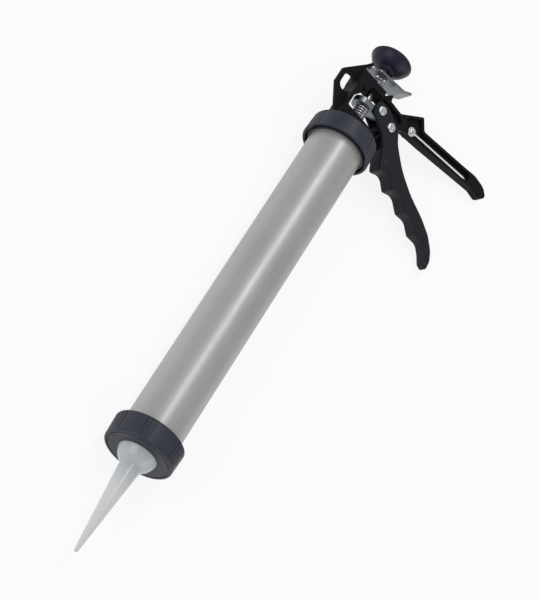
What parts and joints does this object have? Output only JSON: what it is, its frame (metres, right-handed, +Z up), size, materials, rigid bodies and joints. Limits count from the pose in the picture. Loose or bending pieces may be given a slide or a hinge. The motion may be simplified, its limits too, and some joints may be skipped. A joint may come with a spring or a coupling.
{
  "type": "caulking gun",
  "caption": "Hand caulking gun with a closed tubular barrel, screw rings, a tapered nozzle, a grip trigger and a notchless plunger rod",
  "frame": {"origin": "centre of the bounding box in X and Y, on the surface that the gun lies on", "axes": "+X points along the barrel from the handle to the nozzle, +Y towards the tips of the handle and the trigger, +Z up from the surface"},
  "size_m": [0.5818, 0.1924, 0.0662],
  "materials": {
    "barrel_metal": "satin anodised tube",
    "ring_plastic": "moulded, satin, very dark blue-grey",
    "knob_plastic": "moulded, smooth, very dark blue-grey",
    "nozzle_plastic": "translucent white moulding",
    "piston_plastic": "off-white moulding",
    "black_casting": "black powder coat on a light-alloy casting",
    "zinc_steel": "bright zinc plating",
    "spring_steel": "bright spring wire",
    "seal_rubber": "black rubber"
  },
  "bodies": {
    "gun_body": {"barrel": "barrel_metal", "rear_ring_cap": "ring_plastic", "end_plate": "zinc_steel", "end_plate_screws": "zinc_steel", "frame_and_handle": "black_casting", "trigger_pivot_rivet": "zinc_steel", "puncture_wire_rivet": "zinc_steel", "drive_spring": "spring_steel", "release_spring": "spring_steel"},
    "trigger_body": {"trigger": "black_casting", "drive_rivet": "zinc_steel"},
    "drive_plates": {"drive_plate_front": "zinc_steel", "drive_plate_rear": "zinc_steel"},
    "plunger": {"plunger_rod": "zinc_steel", "pull_knob": "knob_plastic", "piston": "piston_plastic", "piston_seal": "seal_rubber", "piston_washer_front": "zinc_steel", "piston_washer_rear": "zinc_steel", "piston_nut": "zinc_steel"},
    "release": {"release_plate": "zinc_steel"},
    "wire": {"puncture_wire": "zinc_steel"},
    "nozzle_body": {"nozzle": "nozzle_plastic"},
    "ring": {"front_ring_cap": "ring_plastic"}
  },
  "joints": [
    {"name": "trigger_squeeze", "type": "hinge", "parent": "gun_body", "child": "trigger_body", "pos_m": [-0.22951, -0.02679, 0.02729], "axis": [0, 0.1811, 0.9835], "range_deg": [0, 25], "stiffness_Nm_per_rad": 0.8, "springref_deg": -14.32},
    {"name": "drive_feed", "type": "slide", "parent": "gun_body", "child": "drive_plates", "axis": [1, 0, 0], "range_m": [0, 0.0078], "deforming": ["drive_spring"]},
    {"name": "rod_draw", "type": "slide", "parent": "gun_body", "child": "plunger", "axis": [-1, 0, 0], "range_m": [0, 0.33]},
    {"name": "release_press", "type": "hinge", "parent": "gun_body", "child": "release", "pos_m": [-0.26071, -0.07429, 0.03603], "axis": [0, -0.1811, -0.9835], "range_deg": [0, 9], "stiffness_Nm_per_rad": 0.2, "springref_deg": -17.19, "deforming": ["release_spring"]},
    {"name": "wire_swing", "type": "hinge", "parent": "gun_body", "child": "wire", "pos_m": [-0.24552, -0.00481, 0.02955], "axis": [0, 0.1811, 0.9835], "range_deg": [0, 110]},
    {"name": "nozzle_off", "type": "slide", "parent": "gun_body", "child": "nozzle_body", "axis": [1, 0, 0], "range_m": [0, 0.0161]},
    {"name": "ring_turn", "type": "hinge", "parent": "nozzle_body", "child": "ring", "pos_m": [0.18988, -0.05836, 0.0331], "axis": [1, 0, 0], "range_deg": [0, 1440]}
  ],
  "couplings": [
    {"joint": "drive_feed", "follows": "trigger_squeeze", "m_per_rad": 0.017237},
    {"joint": "nozzle_off", "follows": "ring_turn", "m_per_rad": 0.00063662}
  ]
}
